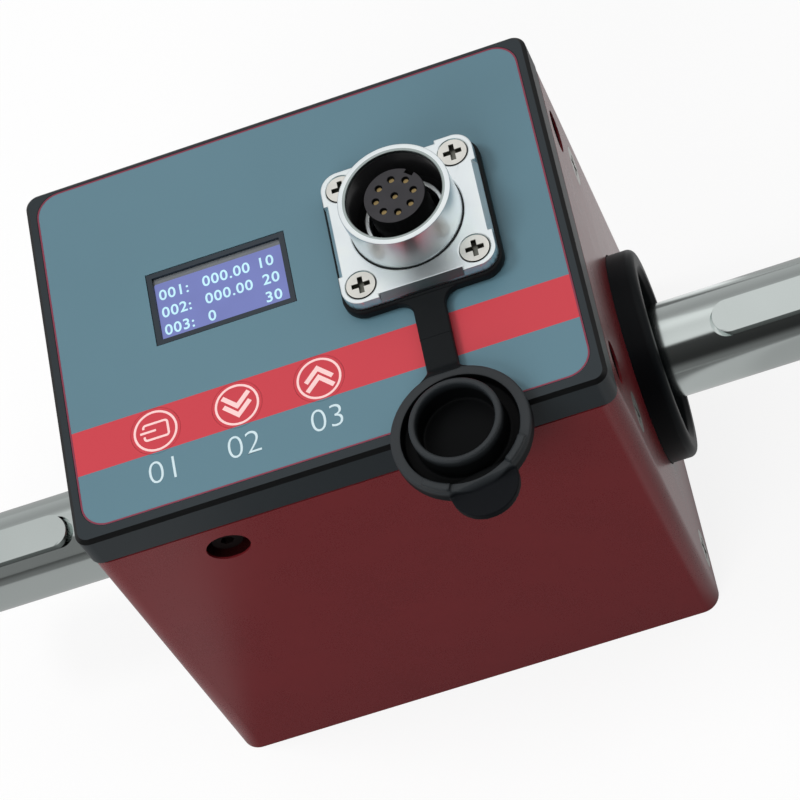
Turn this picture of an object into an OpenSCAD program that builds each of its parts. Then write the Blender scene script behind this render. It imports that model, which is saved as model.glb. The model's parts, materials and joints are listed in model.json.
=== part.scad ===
// Rotary torque sensor: a shaft on two bearings in a block housing, with a lid that
// carries a display, three keys and a round socket with its rubber dust cap.
// Origin at the middle of the base, X along the shaft, Y to the back, Z up, millimetres.

/* [Housing] */
// Width of the housing along the shaft
body_w = 95; // [90:1:105]
// Depth of the housing across the shaft
body_d = 74; // [73:1:84]
// Height of the housing up to the lid's seal
housing_h = 81; // [80:1:92]
// Thickness of the four walls
wall = 5; // [4.5:0.25:5.5]
// Thickness of the floor
floor_t = 6; // [5:0.5:8]
// Radius of the housing's upright corners
corner_r = 3.5; // [3:0.5:5]
// Height of the shaft's axis above the base
axis_h = 32.5; // [32:0.5:36]

/* [Base holes] */
// Distance between the base holes along the shaft
base_pitch_x = 56; // [50:1:58]
// Distance between the base holes across the shaft
base_pitch_y = 46; // [42:1:48]
// Tapping diameter of the base holes
base_hole_d = 4.2; // [3.3:0.1:5]
// Depth of the base holes
base_hole_l = 10; // [8:0.5:12]

/* [Lid] */
// Height of the lid's side
lid_h = 7.6; // [7:0.1:9]
// Thickness of the lid's plate
lid_plate_t = 4; // [3.5:0.1:4.5]
// Chamfer round the lid's top edge
lid_chamfer = 0.7; // [0.4:0.1:1]
// Radius of the lid's upright corners
lid_corner_r = 2.5; // [2:0.25:4]
// Thickness of the seal under the lid
seal_t = 0.4; // [0.3:0.1:0.8]
// Width of a lid tab
tab_w = 12; // [10:0.5:14]
// Thickness of a lid tab
tab_t = 4; // [3:0.25:5]
// Length of a lid tab below the housing's rim
tab_drop = 12; // [11:0.5:13]
// Offset of the lid screws from the middle of the front and the back
lid_screw_offset = 25; // [22:0.5:27]
// Distance of the side walls' lid screws from the corner
lid_screw_corner = 12; // [11.5:0.25:14]
// Depth of the lid screws below the housing's rim
lid_screw_below = 7; // [6:0.25:7.5]
// Diameter of the counterbores for the lid screws
counterbore_d = 7.8; // [7:0.1:8.5]
// Depth of the counterbores for the lid screws
counterbore_l = 3.4; // [2.5:0.1:3.5]

/* [Panel] */
// Thickness of the printed panel film
film_t = 0.4; // [0.3:0.05:0.6]
// Width of the lid's border at the film's two sides
bezel = 2; // [1.5:0.1:2.5]
// Width of the lid's border before the film
bezel_front = 2.5; // [1.5:0.1:3]
// Width of the lid's border behind the film
bezel_back = 1.2; // [1.2:0.1:3]
// Radius of the film's corners
film_r = 4.5; // [3:0.5:6]
// Place of the display along X
display_x = -14.6; // [-18:0.2:-13]
// Place of the display along Y
display_y = 4.7; // [2:0.1:7]
// Width of the display window
display_w = 26; // [24:0.2:28]
// Depth of the display window
display_d = 15.2; // [14:0.2:17]
// Width of the dark frame round the display
display_border = 1.1; // [0.8:0.1:1.6]
// Distance between the keys
key_pitch = 14.9; // [13:0.1:16]
// Place of the middle key along X
keys_x = -15.4; // [-17:0.2:-13]
// Distance of the keys from the front
keys_front = 17.5; // [16:0.1:19]
// Diameter of a key
key_d = 9; // [8:0.2:10]
// Travel of a key
key_travel = 0.3; // [0.2:0.05:0.4]

/* [Socket] */
// Place of the socket along X
socket_x = 21; // [19:0.2:23]
// Place of the socket along Y
socket_y = 3.3; // [2:0.1:6]
// Width of the socket's square flange
flange_w = 27.75; // [27:0.25:29]
// Thickness of the socket's flange
flange_t = 2.3; // [2:0.1:3]
// Distance between the flange screws
flange_pitch = 20.5; // [20:0.1:21]
// Outer diameter of the socket's barrel
barrel_d = 20; // [19:0.1:20.5]
// Wall of the socket's barrel
barrel_wall = 1.4; // [1.1:0.1:1.7]
// Height of the barrel above its flange
barrel_h = 8; // [7:0.25:9.5]
// Diameter of the contact insert
insert_d = 10.8; // [10:0.1:11.5]
// Number of contacts in the ring
pin_count = 8; // [5:1:8]
// Diameter of a contact
pin_d = 0.9; // [0.8:0.1:1.3]

/* [Dust cap] */
// Thickness of the rubber gasket under the flange
rubber_t = 2.2; // [1.8:0.1:3]
// How far the gasket stands out past the flange
gasket_lip = 0.6; // [0.4:0.1:1]
// Width of the strap
strap_w = 5.7; // [5:0.1:7]
// Thickness of the strap
strap_t = 1.6; // [1.2:0.1:1.8]
// Length of the strap between its two bends
strap_l = 15; // [14:0.25:18]
// Diameter of the cap
cap_d = 24.25; // [23:0.25:26]
// Thickness of the cap's disc
cap_t = 3; // [2.6:0.1:3.4]
// Height of the cap's collar above its disc
collar_h = 3.4; // [2.6:0.2:4.6]
// Wall of the cap's collar
collar_wall = 1.2; // [1:0.1:1.8]
// Reach of the pull tab past the cap's edge
pull_reach = 4.5; // [3:0.25:5]

/* [Shaft] */
// Turn of the shaft at rest, which brings its keys towards the front
shaft_turn = 18; // [0:1:45]
// Diameter of the shaft's free ends
shaft_d = 18; // [15:0.5:18.5]
// Whole length of the shaft
shaft_len = 188; // [176:2:210]
// Diameter of the bearing seats
journal_d = 20; // [19.5:0.25:20.5]
// Diameter of the shaft between the bearings
shoulder_d = 24; // [23.5:0.25:24.5]
// Diameter of the twisting section
torsion_d = 14; // [11:0.5:17]
// Length of the twisting section
torsion_l = 24; // [20:0.5:26]
// Width of a shaft key
shaft_key_w = 6; // [5:0.5:6]
// Length of a shaft key
shaft_key_l = 28; // [20:1:32]
// Height of a shaft key
shaft_key_h = 6; // [5:0.25:6]
// Depth of the keyways
keyway_depth = 3.5; // [3:0.1:3.8]
// Distance of a key from the shaft's end
key_inset = 3; // [2:0.5:6]

/* [Bearings] */
// Outer diameter of the bearings
bearing_d = 32; // [31.5:0.25:33]
// Width of the bearings
bearing_w = 7; // [6:0.25:7.5]
// Number of balls in a bearing
ball_count = 11; // [8:1:12]
// Diameter of a ball
ball_d = 3.7; // [3.2:0.05:3.9]
// Thickness of the retaining rings
circlip_t = 1.2; // [1:0.1:1.4]

/* [Carriers] */
// Height of a bearing carrier's flange
carrier_h = 60; // [59:0.5:61]
// Gap between a carrier's flange and the housing's side walls
carrier_side = 1.5; // [1:0.25:2.5]
// Thickness of a carrier's flange
carrier_t = 6; // [5:0.25:7]
// Diameter of a carrier's round boss
boss_d = 40; // [39:0.5:42]
// How far the boss stands out of the housing
boss_out = 5; // [4:0.25:7]
// Distance between the carrier screws up the end wall
carrier_pitch = 54; // [52:0.5:54.5]
// Distance of the carrier screws from the flange's upright edges
carrier_edge = 3.5; // [3.2:0.1:5]

/* [Hidden] */
$fn = 72;

// Clearances
fit = 0.02;
slide_fit = 0.2;
swing_gap = 0.3;
screw_gap = 0.05;
through = 1;

// Heights of the lid and the panel
lid_z = housing_h + seal_t;
lid_top = lid_z + lid_h;
lid_under = lid_top - lid_plate_t;
film_drop = 0.05;
film_top = lid_top - film_drop;
film_z = film_top - film_t;
film_w = body_w - 2 * bezel;
film_d = body_d - bezel_front - bezel_back;
film_y = (bezel_front - bezel_back) / 2;
inner_r = 0.9;

// Machine screws, as shank and head sizes
small_shank_d = 3;
small_head_d = 5.6;
small_head_l = 2;
carrier_shank_d = 4;
carrier_head_d = 7.6;
carrier_head_l = 2.3;
hex_key = 2.5;
slot_w = 0.9;
slot_reach = 0.62;
slot_depth = 1.1;
lid_screw_z = housing_h - lid_screw_below;
lid_wall = wall + slide_fit;
lid_screw_l = wall - counterbore_l + slide_fit + tab_t;

// Base holes
base_boss_d = 12;
base_boss_h = base_hole_l + 2;

// Places along the shaft, on the right half
carrier_x = body_w / 2 - wall;
carrier_w = body_d - 2 * (wall + carrier_side);
carrier_pitch_y = carrier_w - 2 * carrier_edge;
carrier_lip = 3;
bearing_x = carrier_x - carrier_t + carrier_lip;
circlip_x = bearing_x + bearing_w;
boss_face = body_w / 2 + boss_out;
boss_round = 1.5;
carrier_r = 3;
pocket_gap = 0.5;
pocket_z = axis_h - carrier_h / 2 - pocket_gap;
groove_depth = 0.85;
shaft_groove = 0.5;
journal_tail = 0.8;
keyway_run_out = 0.7;
journal_end = circlip_x + circlip_t + journal_tail;

// Bearing section
ball_ring_r = (journal_d + bearing_d) / 4;
race_r = ball_d / 2 + screw_gap;
land = 1.25;
seal_in = 0.25;
seal_h = 0.5;
seal_sunk = 0.3;

// Key stems and switches under the panel
key_gap = 0.06;
stem_d = 3;
switch_w = 6;
switch_h = 3.4;
button_d = 3.4;
button_h = 0.6;
press_gap = 0.05;
stem_end_z = lid_under - press_gap;
button_top_z = stem_end_z - key_travel - press_gap;
key_board_z = button_top_z - button_h - switch_h;
key_board_t = 1.4;
key_board_margin = 6.5;
key_board_w = 2 * (key_pitch + key_board_margin);
key_board_d = 11;
keys_y = keys_front - body_d / 2;
key_post_d = 4.5;
key_post_x = key_pitch / 2;
post_bore_d = 2;
post_bore_l = 4;

// Display pieces
display_gap = 0.1;
display_r = 0.5;
glass_drop = 0.65;
display_board_t = 1.2;
display_board_side = 1;
display_board_end = 6;
display_board_w = display_w + 2 * display_board_side;
display_board_d = display_d + 2 * display_board_end;

// Board under the lid
pillar_l = 14;
pillar_d = 6;
pillar_inset = 3;
pillar_behind = 4;
pillar_front_y = keys_y + key_board_d / 2 + pillar_behind;
board_t = 1.6;
board_end = 3.3;
board_side = 2.8;
board_w = body_w - 2 * (lid_wall + tab_t + board_end);
board_d = body_d - 2 * (lid_wall + tab_t + board_side);
pillar_x = board_w / 2 - pillar_inset;
pillar_back_y = board_d / 2 - pillar_inset;
board_top = lid_under - pillar_l;

// Socket heights
gasket_z = lid_top;
flange_z = gasket_z + rubber_t;
flange_top = flange_z + flange_t;
rim_z = flange_top + barrel_h;
barrel_bore_d = barrel_d - 2 * barrel_wall;
socket_tail_d = 16.8;
socket_tail_l = 7;
socket_floor = 1;
tail_z = lid_under - socket_tail_l;
flange_r = 3.4;
ear_w = 6.4;
bevel_in = 0.8;
bevel_down = 1.6;
base_groove = 0.25;
sleeve_r = 7.2;
sleeve_wall = 0.8;
sleeve_below = 7;
head_room = 0.3;
insert_drop = 0.6;
insert_top = rim_z - insert_drop;
pin_ring_d = 6.8;
pin_drop = 0.5;
pin_tail = 3;

// Rubber pieces, along Y from the socket to the cap
rubber_gap = 0.3;
strap_z = gasket_z + rubber_gap;
strap_mid = strap_z + strap_t / 2;
gasket_w = flange_w + 2 * gasket_lip;
gasket_front = socket_y - gasket_w / 2;
root_y = gasket_front - swing_gap - strap_t / 2;
bend_y = root_y - strap_l;
strap_bite = 0.9;
cap_y = bend_y - strap_t / 2 - swing_gap - cap_d / 2 + strap_bite;
cap_z = gasket_z + rubber_gap;
groove_gap = 0.15;
collar_slack = 0.6;
collar_r = barrel_bore_d / 2 - collar_slack;
groove_r = barrel_d / 2 + groove_gap;
cap_groove = 2.2;
cap_floor = 1.2;
cap_edge = 0.5;
cap_shift = 0.8;
pull_w = 12;
pull_r = 5.9;
pull_t = 1.6;
pull_turn = 9;
bump_h = 0.9;
bump_arc = 26;
bump_from_pull = 41;
bump_sunk = 0.4;
bump_inset = 0.3;
bar_in = 9;
bar_w = 1.6;
bar_slope = 1.1;

// Coils, disc and pickup along the shaft
rotor_r = 18;
rotor_l = 11;
rotor_gap = 2.5;
rotor_x = -carrier_x + carrier_t + rotor_gap;
winding_depth = 3;
winding_drop = 0.3;
coil_cheek = 1.5;
coil_gap = 0.6;
stator_wall = 5.5;
stator_l = 16;
disc_r = 22;
disc_t = 1;
disc_off = 12;
disc_x = carrier_x - carrier_t - disc_off;
disc_slots = 30;
disc_hub_r = 15;
disc_hub_l = 5;
pickup_w = 14;
pickup_gap = 3;
pickup_arm = 4;
pickup_bite = 5;
pickup_low = axis_h + disc_r - pickup_bite;
pickup_h = 11;
rotor_board_off = 6;
rotor_board_x = -torsion_l / 2 - rotor_board_off;
gauge_t = 0.2;

// A flat rectangle with round corners
module rounded_rect(w, d, r) {
    square([w - 2 * r, d], center = true);
    square([w, d - 2 * r], center = true);
    for (x = [-1, 1], y = [-1, 1])
        translate([x * (w / 2 - r), y * (d / 2 - r)])
            circle(r);
}

module slab(w, d, h, r) {
    linear_extrude(h)
        rounded_rect(w, d, r);
}

// A slab whose top edge is chamfered all round
module chamfered_slab(w, d, h, r, c) {
    slab(w, d, h - c, r);
    translate([0, 0, h - c]) {
        rotate([90, 0, 0])
            linear_extrude(d - 2 * r, center = true)
                polygon([[-w / 2, 0], [w / 2, 0], [w / 2 - c, c], [-w / 2 + c, c]]);
        rotate([90, 0, 90])
            linear_extrude(w - 2 * r, center = true)
                polygon([[-d / 2, 0], [d / 2, 0], [d / 2 - c, c], [-d / 2 + c, c]]);
        for (x = [-1, 1], y = [-1, 1])
            translate([x * (w / 2 - r), y * (d / 2 - r), 0])
                cylinder(h = c, r1 = r, r2 = r - c);
    }
}

// Turns a shape that is built upwards so that it lies along the shaft, from x onwards
module on_shaft(x) {
    translate([x, 0, axis_h])
        rotate([0, 90, 0])
            children();
}

module tube(outer_r, inner_r, l) {
    difference() {
        cylinder(h = l, r = outer_r);
        translate([0, 0, -through])
            cylinder(h = l + 2 * through, r = inner_r);
    }
}

// Puts a shape at each lid screw, with its Z pointing out of the wall
module at_lid_screws() {
    long_side = [body_d / 2, lid_screw_offset];
    short_side = [body_w / 2, body_d / 2 - lid_screw_corner];
    for (face = [0 : 3], s = [-1, 1]) {
        place = face % 2 == 0 ? long_side : short_side;
        rotate([0, 0, face * 90])
            translate([s * place[1], -place[0], lid_screw_z])
                rotate([90, 0, 0])
                    children();
    }
}

// Puts a shape at each carrier screw, with its Z pointing out of the end wall
module at_carrier_screws() {
    for (end = [0, 180], y = [-1, 1], z = [-1, 1])
        rotate([0, 0, end])
            translate([body_w / 2, y * carrier_pitch_y / 2, axis_h + z * carrier_pitch / 2])
                rotate([0, 90, 0])
                    children();
}

module at_flange_screws() {
    for (x = [-1, 1], y = [-1, 1])
        translate([socket_x + x * flange_pitch / 2, socket_y + y * flange_pitch / 2, 0])
            children();
}

module at_base_holes() {
    for (x = [-1, 1], y = [-1, 1])
        translate([x * base_pitch_x / 2, y * base_pitch_y / 2, 0])
            children();
}

module at_keys() {
    for (i = [-1, 0, 1])
        translate([keys_x + i * key_pitch, keys_y, 0])
            children();
}

module at_pillars() {
    for (x = [-1, 1], y = [pillar_front_y, pillar_back_y])
        translate([x * pillar_x, y, 0])
            children();
}

module at_key_posts() {
    for (x = [-1, 1])
        translate([keys_x + x * key_post_x, keys_y, 0])
            children();
}

// The cut for a countersunk head, from the face down
module countersink(head_d, shank_d, head_l) {
    translate([0, 0, -head_l])
        cylinder(h = head_l, r1 = shank_d / 2 + screw_gap, r2 = head_d / 2 + screw_gap);
    cylinder(h = through, r = head_d / 2 + screw_gap);
}

module cross_slot(head_d) {
    for (a = [0, 90])
        rotate([0, 0, a])
            translate([0, 0, -slot_depth / 2])
                cube([head_d * slot_reach, slot_w, slot_depth + 2 * fit], center = true);
}

// A countersunk screw with its head's top at z = 0
module countersunk_screw(head_d, shank_d, head_l, l) {
    difference() {
        union() {
            translate([0, 0, -head_l])
                cylinder(h = head_l, r1 = shank_d / 2 - screw_gap, r2 = head_d / 2 - screw_gap);
            translate([0, 0, -l])
                cylinder(h = l - head_l, r = shank_d / 2 - screw_gap);
        }
        cross_slot(head_d);
    }
}

module housing_block() {
    difference() {
        slab(body_w, body_d, housing_h, corner_r);
        translate([0, 0, floor_t])
            slab(body_w - 2 * wall, body_d - 2 * wall, housing_h, inner_r);
        for (s = [-1, 1])
            translate([s * (carrier_x - (carrier_t + slide_fit) / 2), 0, (pocket_z + floor_t + through) / 2])
                cube([
                    carrier_t + slide_fit, carrier_w + 2 * pocket_gap, floor_t + through - pocket_z
                ], center = true);
    }
    at_base_holes()
        cylinder(h = base_boss_h, d = base_boss_d);
}

module housing() {
    color("#643436")
        difference() {
            housing_block();
            at_base_holes()
                translate([0, 0, -through])
                    cylinder(h = base_hole_l + through, d = base_hole_d);
            on_shaft(-body_w / 2 - through)
                cylinder(h = body_w + 2 * through, d = boss_d + 2 * slide_fit);
            at_carrier_screws() {
                countersink(carrier_head_d, carrier_shank_d, carrier_head_l);
                translate([0, 0, -wall - through])
                    cylinder(h = wall + through, d = carrier_shank_d + 2 * slide_fit);
            }
            at_lid_screws() {
                translate([0, 0, -counterbore_l])
                    cylinder(h = counterbore_l + through, d = counterbore_d);
                translate([0, 0, -wall - through])
                    cylinder(h = wall + through, d = small_shank_d + 2 * slide_fit);
            }
        }
}

module lid_shell() {
    difference() {
        translate([0, 0, lid_z])
            chamfered_slab(body_w, body_d, lid_h, lid_corner_r, lid_chamfer);
        translate([0, 0, lid_z - through])
            slab(body_w - 2 * lid_wall, body_d - 2 * lid_wall, lid_under - lid_z + through, inner_r);
    }
    at_lid_screws()
        translate([-tab_w / 2, lid_screw_below - tab_drop, -lid_wall - tab_t])
            cube([tab_w, lid_under + fit - housing_h + tab_drop, tab_t]);
    at_key_posts()
        translate([0, 0, key_board_z])
            cylinder(h = lid_under + fit - key_board_z, d = key_post_d);
}

module lid() {
    color("#2b3133")
        difference() {
            lid_shell();
            translate([0, film_y, film_z])
                slab(film_w + slide_fit, film_d + slide_fit, film_t + through, film_r + slide_fit / 2);
            translate([display_x, display_y, lid_under - through])
                slab(display_w, display_d, lid_plate_t + 2 * through, display_r);
            at_keys() {
                translate([0, 0, film_z - key_travel - key_gap])
                    cylinder(h = lid_plate_t, d = key_d + 4 * key_gap);
                translate([0, 0, lid_under - through])
                    cylinder(h = lid_plate_t + through, d = stem_d + 4 * key_gap);
            }
            translate([socket_x, socket_y, lid_under - through])
                cylinder(h = lid_plate_t + 2 * through, d = socket_tail_d + 2 * slide_fit);
            at_flange_screws()
                translate([0, 0, lid_under - through])
                    cylinder(h = lid_plate_t + 2 * through, d = small_shank_d);
            at_lid_screws()
                translate([0, 0, -lid_wall - tab_t - through])
                    cylinder(h = tab_t + 2 * through, d = small_shank_d);
            at_key_posts()
                translate([0, 0, key_board_z - through])
                    cylinder(h = post_bore_l + through, d = post_bore_d);
        }
}

module lid_seal() {
    inset = 0.35;
    color("#101213")
        translate([0, 0, housing_h])
            difference() {
                slab(body_w - 2 * inset, body_d - 2 * inset, seal_t, corner_r - inset);
                translate([0, 0, -through])
                    slab(body_w - 2 * lid_wall, body_d - 2 * lid_wall, seal_t + 2 * through, inner_r);
            }
}

module lid_screws() {
    color("#1c1e20")
        at_lid_screws()
            translate([0, 0, -counterbore_l])
                difference() {
                    union() {
                        cylinder(h = small_head_l, d = small_head_d);
                        translate([0, 0, -lid_screw_l])
                            cylinder(h = lid_screw_l, d = small_shank_d - 2 * screw_gap);
                    }
                    translate([0, 0, small_head_l - slot_depth])
                        cylinder(h = slot_depth + through, d = hex_key, $fn = 6);
                }
}

module panel_film() {
    color("#62828e")
        translate([0, 0, film_z])
            linear_extrude(film_t)
                difference() {
                    translate([0, film_y])
                        rounded_rect(film_w, film_d, film_r);
                    translate([display_x, display_y])
                        square([display_w, display_d], center = true);
                    at_keys()
                        circle(d = key_d + 2 * key_gap);
                    translate([socket_x, socket_y])
                        circle(d = socket_tail_d + 2 * slide_fit);
                    at_flange_screws()
                        circle(d = small_shank_d + 2 * slide_fit);
                }
}

module display_frame() {
    color("#1b2733")
        translate([display_x, display_y, film_top - glass_drop])
            linear_extrude(glass_drop - film_drop)
                difference() {
                    square([display_w - 2 * display_gap, display_d - 2 * display_gap], center = true);
                    square([display_w - 2 * display_border, display_d - 2 * display_border], center = true);
                }
}

module display_glass() {
    color("#8c96cd")
        translate([display_x, display_y, lid_under])
            slab(
                display_w - 4 * display_gap, display_d - 4 * display_gap,
                film_top - glass_drop - lid_under, display_r
            );
}

module display_board() {
    color("#1f5b3a")
        translate([display_x, display_y, lid_under - display_board_t])
            slab(display_board_w, display_board_d, display_board_t, 1);
}

// One key of the panel: a disc level with the film on a stem that presses its switch
module panel_key(i) {
    color("#cd4b58")
        translate([keys_x + i * key_pitch, keys_y, 0]) {
            translate([0, 0, film_z])
                cylinder(h = film_t, d = key_d);
            translate([0, 0, stem_end_z])
                cylinder(h = film_z + film_t / 2 - stem_end_z, d = stem_d);
        }
}

module key_1() {
    panel_key(-1);
}

module key_2() {
    panel_key(0);
}

module key_3() {
    panel_key(1);
}

module key_board() {
    color("#1f5b3a")
        difference() {
            translate([keys_x, keys_y, key_board_z - key_board_t])
                slab(key_board_w, key_board_d, key_board_t, 1);
            at_key_posts()
                translate([0, 0, key_board_z - key_board_t - through])
                    cylinder(h = key_board_t + 2 * through, d = post_bore_d + 2 * slide_fit);
        }
}

module key_switches() {
    color("#202224")
        at_keys()
            translate([0, 0, key_board_z]) {
                translate([0, 0, switch_h / 2])
                    cube([switch_w, switch_w, switch_h], center = true);
                cylinder(h = switch_h + button_h, d = button_d);
            }
}

// The square flange, with its edges bevelled between the four corner ears
module socket_flange() {
    difference() {
        slab(flange_w, flange_w, flange_t, flange_r);
        for (a = [0, 90, 180, 270])
            rotate([0, 0, a])
                translate([flange_w / 2, 0, flange_t])
                    rotate([90, 0, 0])
                        linear_extrude(flange_w - 2 * ear_w, center = true)
                            polygon([
                                [-bevel_in, 0], [bevel_in, -2 * bevel_down],
                                [bevel_in, through], [-bevel_in, through]
                            ]);
        translate([0, 0, flange_t - base_groove])
            cylinder(h = flange_t, d = barrel_d + 2 * base_groove);
    }
}

// Flange, barrel and tail of the socket before its bores are cut
module socket_blank() {
    translate([0, 0, flange_z])
        socket_flange();
    translate([0, 0, flange_z])
        cylinder(h = rim_z - flange_z, d = barrel_d);
    translate([0, 0, tail_z])
        cylinder(h = flange_z + fit - tail_z, d = socket_tail_d);
}

// Earth sleeve that stands on the barrel's floor, round the contact insert
module socket_sleeve() {
    foot_z = flange_z + socket_floor - fit;
    translate([0, 0, foot_z])
        tube(sleeve_r, sleeve_r - sleeve_wall, rim_z - sleeve_below - foot_z);
}

module socket_shell() {
    color("#d5dadd") {
        difference() {
            translate([socket_x, socket_y, 0])
                socket_blank();
            translate([socket_x, socket_y, flange_z + socket_floor])
                cylinder(h = rim_z, d = barrel_bore_d);
            translate([socket_x, socket_y, tail_z - through])
                cylinder(h = rim_z, d = insert_d + 2 * fit);
            at_flange_screws() {
                translate([0, 0, flange_top])
                    countersink(small_head_d, small_shank_d, small_head_l);
                translate([0, 0, flange_z - through])
                    cylinder(h = flange_t + through, d = small_shank_d + 2 * slide_fit);
            }
        }
        translate([socket_x, socket_y, 0])
            socket_sleeve();
    }
}

module at_contacts() {
    for (i = [0 : pin_count - 1])
        rotate([0, 0, i * 360 / pin_count])
            translate([pin_ring_d / 2, 0, 0])
                children();
    children();
}

module socket_insert() {
    notch_w = 1.6;
    notch_angle = 48;
    well_d = 1.3;
    well_l = 0.9;
    color("#3c393c")
        translate([socket_x, socket_y, 0])
            difference() {
                translate([0, 0, tail_z])
                    cylinder(h = insert_top - tail_z, d = insert_d);
                rotate([0, 0, notch_angle])
                    translate([insert_d / 2, 0, insert_top])
                        cube([notch_w, notch_w, 2 * (insert_top - flange_top)], center = true);
                at_contacts() {
                    translate([0, 0, insert_top - well_l])
                        cylinder(h = well_l + through, d = well_d);
                    translate([0, 0, tail_z - through])
                        cylinder(h = insert_top, d = pin_d + 2 * fit);
                }
            }
}

module socket_contacts() {
    color("#c8a24a")
        translate([socket_x, socket_y, 0])
            at_contacts()
                translate([0, 0, tail_z - pin_tail])
                    cylinder(h = insert_top - pin_drop - tail_z + pin_tail, d = pin_d);
}

module socket_screws() {
    screw_end = 0.5;
    screw_l = flange_top - lid_under - screw_end;
    color("#c9cac4")
        at_flange_screws()
            translate([0, 0, flange_top])
                countersunk_screw(small_head_d - head_room, small_shank_d, small_head_l, screw_l);
}

module socket_gasket() {
    color("#232829")
        difference() {
            translate([socket_x, socket_y, gasket_z])
                slab(gasket_w, gasket_w, rubber_t, flange_r + gasket_lip);
            translate([socket_x, socket_y, gasket_z - through])
                cylinder(h = rubber_t + 2 * through, d = socket_tail_d + 2 * slide_fit);
            at_flange_screws()
                translate([0, 0, gasket_z - through])
                    cylinder(h = rubber_t + 2 * through, d = small_shank_d + 2 * slide_fit);
        }
}

module cap_strap() {
    color("#232829")
        translate([socket_x, 0, strap_mid]) {
            translate([0, (root_y + bend_y) / 2, 0])
                cube([strap_w, strap_l, strap_t], center = true);
            for (y = [root_y, bend_y])
                translate([0, y, 0])
                    rotate([0, 90, 0])
                        cylinder(h = strap_w, d = strap_t, center = true);
        }
}

// Section of the cap: a disc with a groove for the barrel and a collar with a round lip
module cap_section() {
    lip_r = collar_wall / 2;
    difference() {
        union() {
            square([cap_d / 2 - cap_edge, cap_t]);
            translate([0, cap_edge])
                square([cap_d / 2, cap_t - 2 * cap_edge]);
            for (z = [cap_edge, cap_t - cap_edge])
                translate([cap_d / 2 - cap_edge, z])
                    circle(cap_edge, $fn = 24);
        }
        translate([collar_r, cap_t - cap_groove])
            square([groove_r - collar_r, cap_groove + through]);
        translate([-through, cap_floor])
            square([collar_r - collar_wall + through, cap_t]);
    }
    translate([collar_r - collar_wall, cap_floor])
        square([collar_wall, cap_t + collar_h - lip_r - cap_floor]);
    translate([collar_r - lip_r, cap_t + collar_h - lip_r])
        circle(lip_r, $fn = 24);
}

// Straight bar across the front of the groove, that slopes down to the pull tab
module cap_bar() {
    bar_out = bar_in + bar_w;
    bar_foot = cap_t - cap_groove - fit;
    intersection() {
        rotate([90, 0, -90])
            linear_extrude(cap_d, center = true)
                polygon([
                    [bar_in, bar_foot], [bar_out + bar_slope, bar_foot], [bar_out + bar_slope, pull_t],
                    [bar_out, cap_t], [bar_in, cap_t]
                ]);
        cylinder(h = cap_t, d = cap_d - 2 * cap_edge);
    }
}

// The cap with its pull tab towards -Y, the bar before the groove and two bumps at the bar's ends
module cap_moulding() {
    difference() {
        rotate_extrude()
            cap_section();
        translate([-cap_d / 2, -bar_in - bar_w - cap_d, pull_t])
            cube([cap_d, cap_d, cap_t]);
    }
    cap_bar();
    linear_extrude(pull_t)
        difference() {
            translate([0, -(cap_d / 2 + pull_reach) / 2])
                rounded_rect(pull_w, cap_d / 2 + pull_reach, pull_r);
            circle(r = groove_r);
        }
    for (side = [-1, 1])
        rotate([0, 0, side * bump_from_pull - 90 - bump_arc / 2])
            translate([0, 0, cap_t - bump_sunk])
                rotate_extrude(angle = bump_arc)
                    translate([groove_r + bump_inset, 0])
                        square([cap_d / 2 - groove_r - 2 * bump_inset, bump_h + bump_sunk]);
}

module dust_cap() {
    color("#232829")
        difference() {
            translate([socket_x + cap_shift, cap_y, cap_z])
                rotate([0, 0, pull_turn])
                    cap_moulding();
            translate([socket_x, bend_y, strap_mid])
                rotate([0, 90, 0])
                    cylinder(h = strap_w + 2 * swing_gap, d = strap_t + 2 * swing_gap, center = true);
            translate([socket_x, bend_y + (strap_l - strap_t) / 2, strap_mid + cap_t])
                cube([strap_w + 2 * swing_gap, strap_l, 4 * cap_t], center = true);
        }
}

// A bearing carrier: a square flange inside the wall and a round boss through it
module carrier() {
    boss_l = boss_face - carrier_x;
    bore_chamfer = 0.8;
    shoulder_gap = 1;
    difference() {
        union() {
            on_shaft(carrier_x - carrier_t)
                slab(carrier_h, carrier_w, carrier_t, carrier_r);
            on_shaft(carrier_x)
                rotate_extrude() {
                    square([boss_d / 2, boss_l - boss_round]);
                    square([boss_d / 2 - boss_round, boss_l]);
                    translate([boss_d / 2 - boss_round, boss_l - boss_round])
                        circle(boss_round, $fn = 32);
                }
        }
        on_shaft(bearing_x)
            cylinder(h = boss_face, d = bearing_d + 2 * fit);
        on_shaft(circlip_x)
            cylinder(h = circlip_t, d = bearing_d + 2 * groove_depth);
        on_shaft(carrier_x - carrier_t - through)
            cylinder(h = carrier_t, d = shoulder_d + 2 * shoulder_gap);
        on_shaft(boss_face - bore_chamfer)
            cylinder(h = bore_chamfer + fit, r1 = bearing_d / 2, r2 = bearing_d / 2 + bore_chamfer);
        at_carrier_screws()
            translate([0, 0, -wall - carrier_t - through])
                cylinder(h = carrier_t + 2 * through, d = carrier_shank_d);
    }
}

module carrier_right() {
    color("#16191a")
        carrier();
}

module carrier_left() {
    color("#16191a")
        mirror([1, 0, 0])
            carrier();
}

module carrier_screws() {
    screw_end = 0.5;
    color("#c4c8c8")
        at_carrier_screws()
            countersunk_screw(carrier_head_d, carrier_shank_d, carrier_head_l, wall + carrier_t - screw_end);
}

// Bearing pieces, built on the right half
module outer_ring() {
    color("#aeb4b8")
        on_shaft(bearing_x)
            rotate_extrude()
                difference() {
                    translate([ball_ring_r + land, 0])
                        square([bearing_d / 2 - ball_ring_r - land, bearing_w]);
                    translate([ball_ring_r, bearing_w / 2])
                        circle(race_r);
                }
}

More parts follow.
